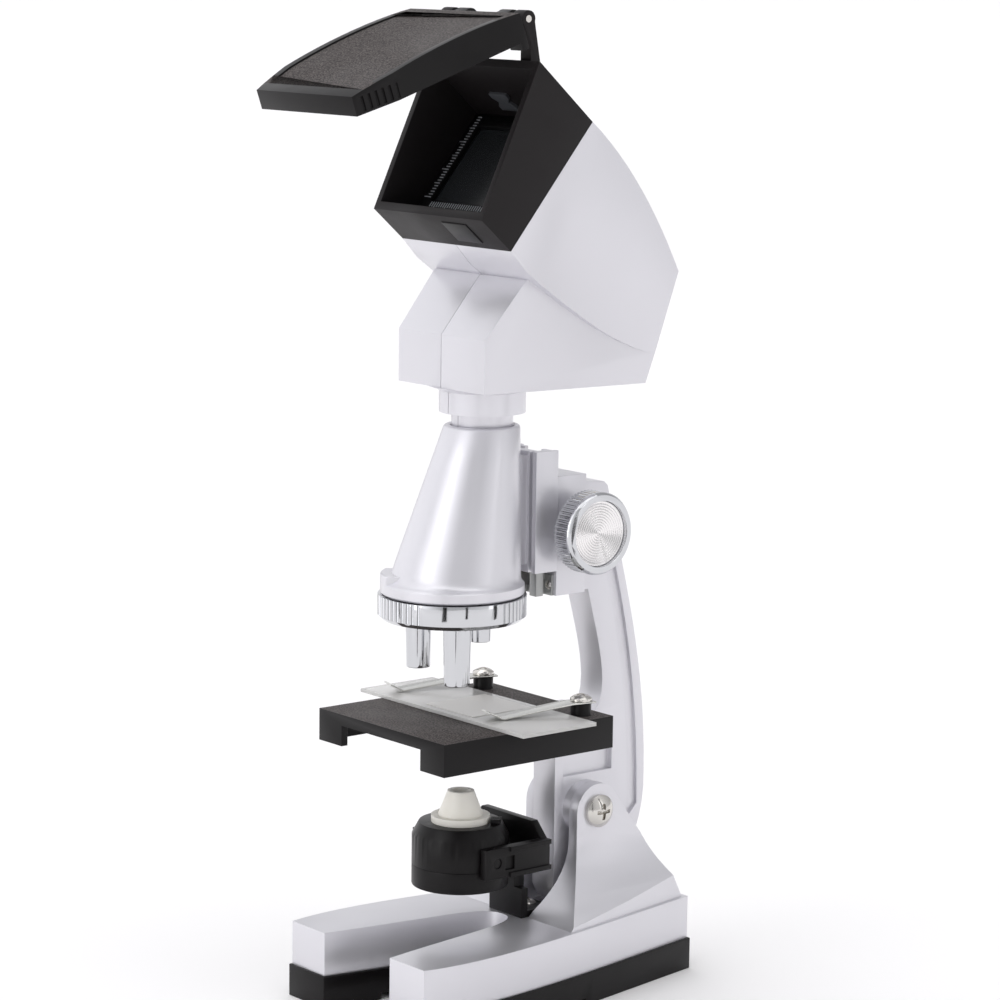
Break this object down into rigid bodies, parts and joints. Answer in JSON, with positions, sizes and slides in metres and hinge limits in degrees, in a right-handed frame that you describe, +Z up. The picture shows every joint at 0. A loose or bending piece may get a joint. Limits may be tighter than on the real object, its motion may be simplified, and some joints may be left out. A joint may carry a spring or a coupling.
{
  "type": "toy projection microscope",
  "caption": "Toy microscope with a horseshoe base, tilting arm, clipped slide stage, rack focus, turning objectives and a swivelling projection viewer with a hinged lid.",
  "frame": {"origin": "centre of the bounding box on the table plane, 2.7 mm behind the optical axis, on the plane that halves the instrument left from right", "axes": "+Z up, -Y is the front where the leg ends and the lid point, +X is the instrument's own left-to-right direction seen from the front"},
  "size_m": [0.076, 0.1313, 0.2878],
  "materials": {
    "silver_body": "satin silver moulded plastic",
    "guide_grey": "grey moulded plastic",
    "black_satin": "satin black moulded plastic",
    "black_textured": "black plastic with a fine spark texture",
    "nickel_screw": "bright nickel plate",
    "spring_steel": "bright spring steel",
    "slide_glass": "clear",
    "gear_brass": "machined brass",
    "chrome_plate": "bright chrome plate over moulded ABS",
    "spun_aluminium": "spun rings",
    "mirror_face": "front-surface mirror",
    "screen_white": "frosted translucent screen",
    "diffuser_white": "translucent white",
    "bulb_warm": "clear epoxy"
  },
  "bodies": {
    "base": {"base_shell": "silver_body", "base_cover": "black_satin", "cover_screws": "nickel_screw", "tilt_screw": "nickel_screw", "tilt_nut": "nickel_screw", "lamp_bracket": "black_satin", "bracket_screw": "nickel_screw"},
    "arm": {"arm": "silver_body", "slide_guide": "guide_grey", "guide_screws": "nickel_screw", "stage": "black_textured", "stage_screws": "nickel_screw", "clip_screws": "nickel_screw"},
    "clip_left": {"clip_left": "spring_steel"},
    "clip_right": {"clip_right": "spring_steel"},
    "slide": {"specimen_slide": "slide_glass", "cover_slip": "slide_glass"},
    "tube": {"body_tube": "silver_body", "carriage": "silver_body", "rack": "gear_brass", "carriage_screws": "nickel_screw", "turret_screw": "nickel_screw", "detent_spring": "spring_steel"},
    "focus": {"pinion_shaft": "nickel_screw", "pinion": "gear_brass", "knob_left": "chrome_plate", "knob_right": "chrome_plate", "knob_disc_left": "spun_aluminium", "knob_disc_right": "spun_aluminium"},
    "turret": {"turret": "chrome_plate", "objective_short": "chrome_plate", "objective_medium": "chrome_plate", "objective_long": "chrome_plate", "objective_lenses": "slide_glass"},
    "viewer": {"shell_left": "silver_body", "shell_right": "silver_body", "shell_screws": "nickel_screw", "projection_lens": "slide_glass", "lens_retainer": "black_satin", "first_mirror": "mirror_face", "rear_mirror": "mirror_face", "hood": "black_satin", "screen": "screen_white", "screen_frame": "black_satin", "hinge_pin": "nickel_screw"},
    "lid": {"lid": "black_satin"},
    "lamp": {"lamp_housing": "black_satin", "lamp_cap": "black_satin", "diffuser": "diffuser_white", "bulb": "bulb_warm", "coin_cells": "nickel_screw", "contact_spring": "gear_brass", "reflector": "mirror_face"},
    "switch": {"lamp_switch": "black_satin"}
  },
  "joints": [
    {"name": "arm_tilt", "type": "hinge", "parent": "base", "child": "arm", "pos_m": [0, 0.0338, 0.0523], "axis": [-1, 0, 0], "range_deg": [0, 28]},
    {"name": "clip_left_turn", "type": "hinge", "parent": "arm", "child": "clip_left", "pos_m": [-0.0225, 0.0171, 0.0895], "axis": [0, 0, 1], "range_deg": [-20, 35]},
    {"name": "clip_right_turn", "type": "hinge", "parent": "arm", "child": "clip_right", "pos_m": [0.0225, 0.0171, 0.0895], "axis": [0, 0, 1], "range_deg": [-35, 25]},
    {"name": "slide_shift", "type": "slide", "parent": "arm", "child": "slide", "axis": [1, 0, 0], "range_m": [-0.008, 0.008]},
    {"name": "tube_focus", "type": "slide", "parent": "arm", "child": "tube", "axis": [0, 0, 1], "range_m": [-0.006, 0.009]},
    {"name": "focus_turn", "type": "hinge", "parent": "arm", "child": "focus", "pos_m": [0, 0.0247, 0.1378], "axis": [1, 0, 0], "range_deg": [-110, 75]},
    {"name": "turret_turn", "type": "hinge", "parent": "tube", "child": "turret", "pos_m": [0, -0.01305, 0.118], "axis": [0, 0, 1], "continuous": true},
    {"name": "viewer_swivel", "type": "hinge", "parent": "tube", "child": "viewer", "pos_m": [0, -0.0027, 0.172], "axis": [0, 0, 1], "continuous": true},
    {"name": "lid_hinge", "type": "hinge", "parent": "viewer", "child": "lid", "pos_m": [0, -0.0027, 0.2854], "axis": [1, 0, 0], "range_deg": [-12, 45.6]},
    {"name": "lamp_tilt", "type": "hinge", "parent": "base", "child": "lamp", "pos_m": [0, -0.0091, 0.0441], "axis": [1, 0, 0], "range_deg": [-25, 180]},
    {"name": "switch_slide", "type": "slide", "parent": "lamp", "child": "switch", "axis": [-0.7071, 0.7071, 0], "range_m": [0, 0.0024]}
  ],
  "couplings": [
    {"joint": "focus_turn", "follows": "tube_focus", "rad_per_m": -208.33}
  ]
}
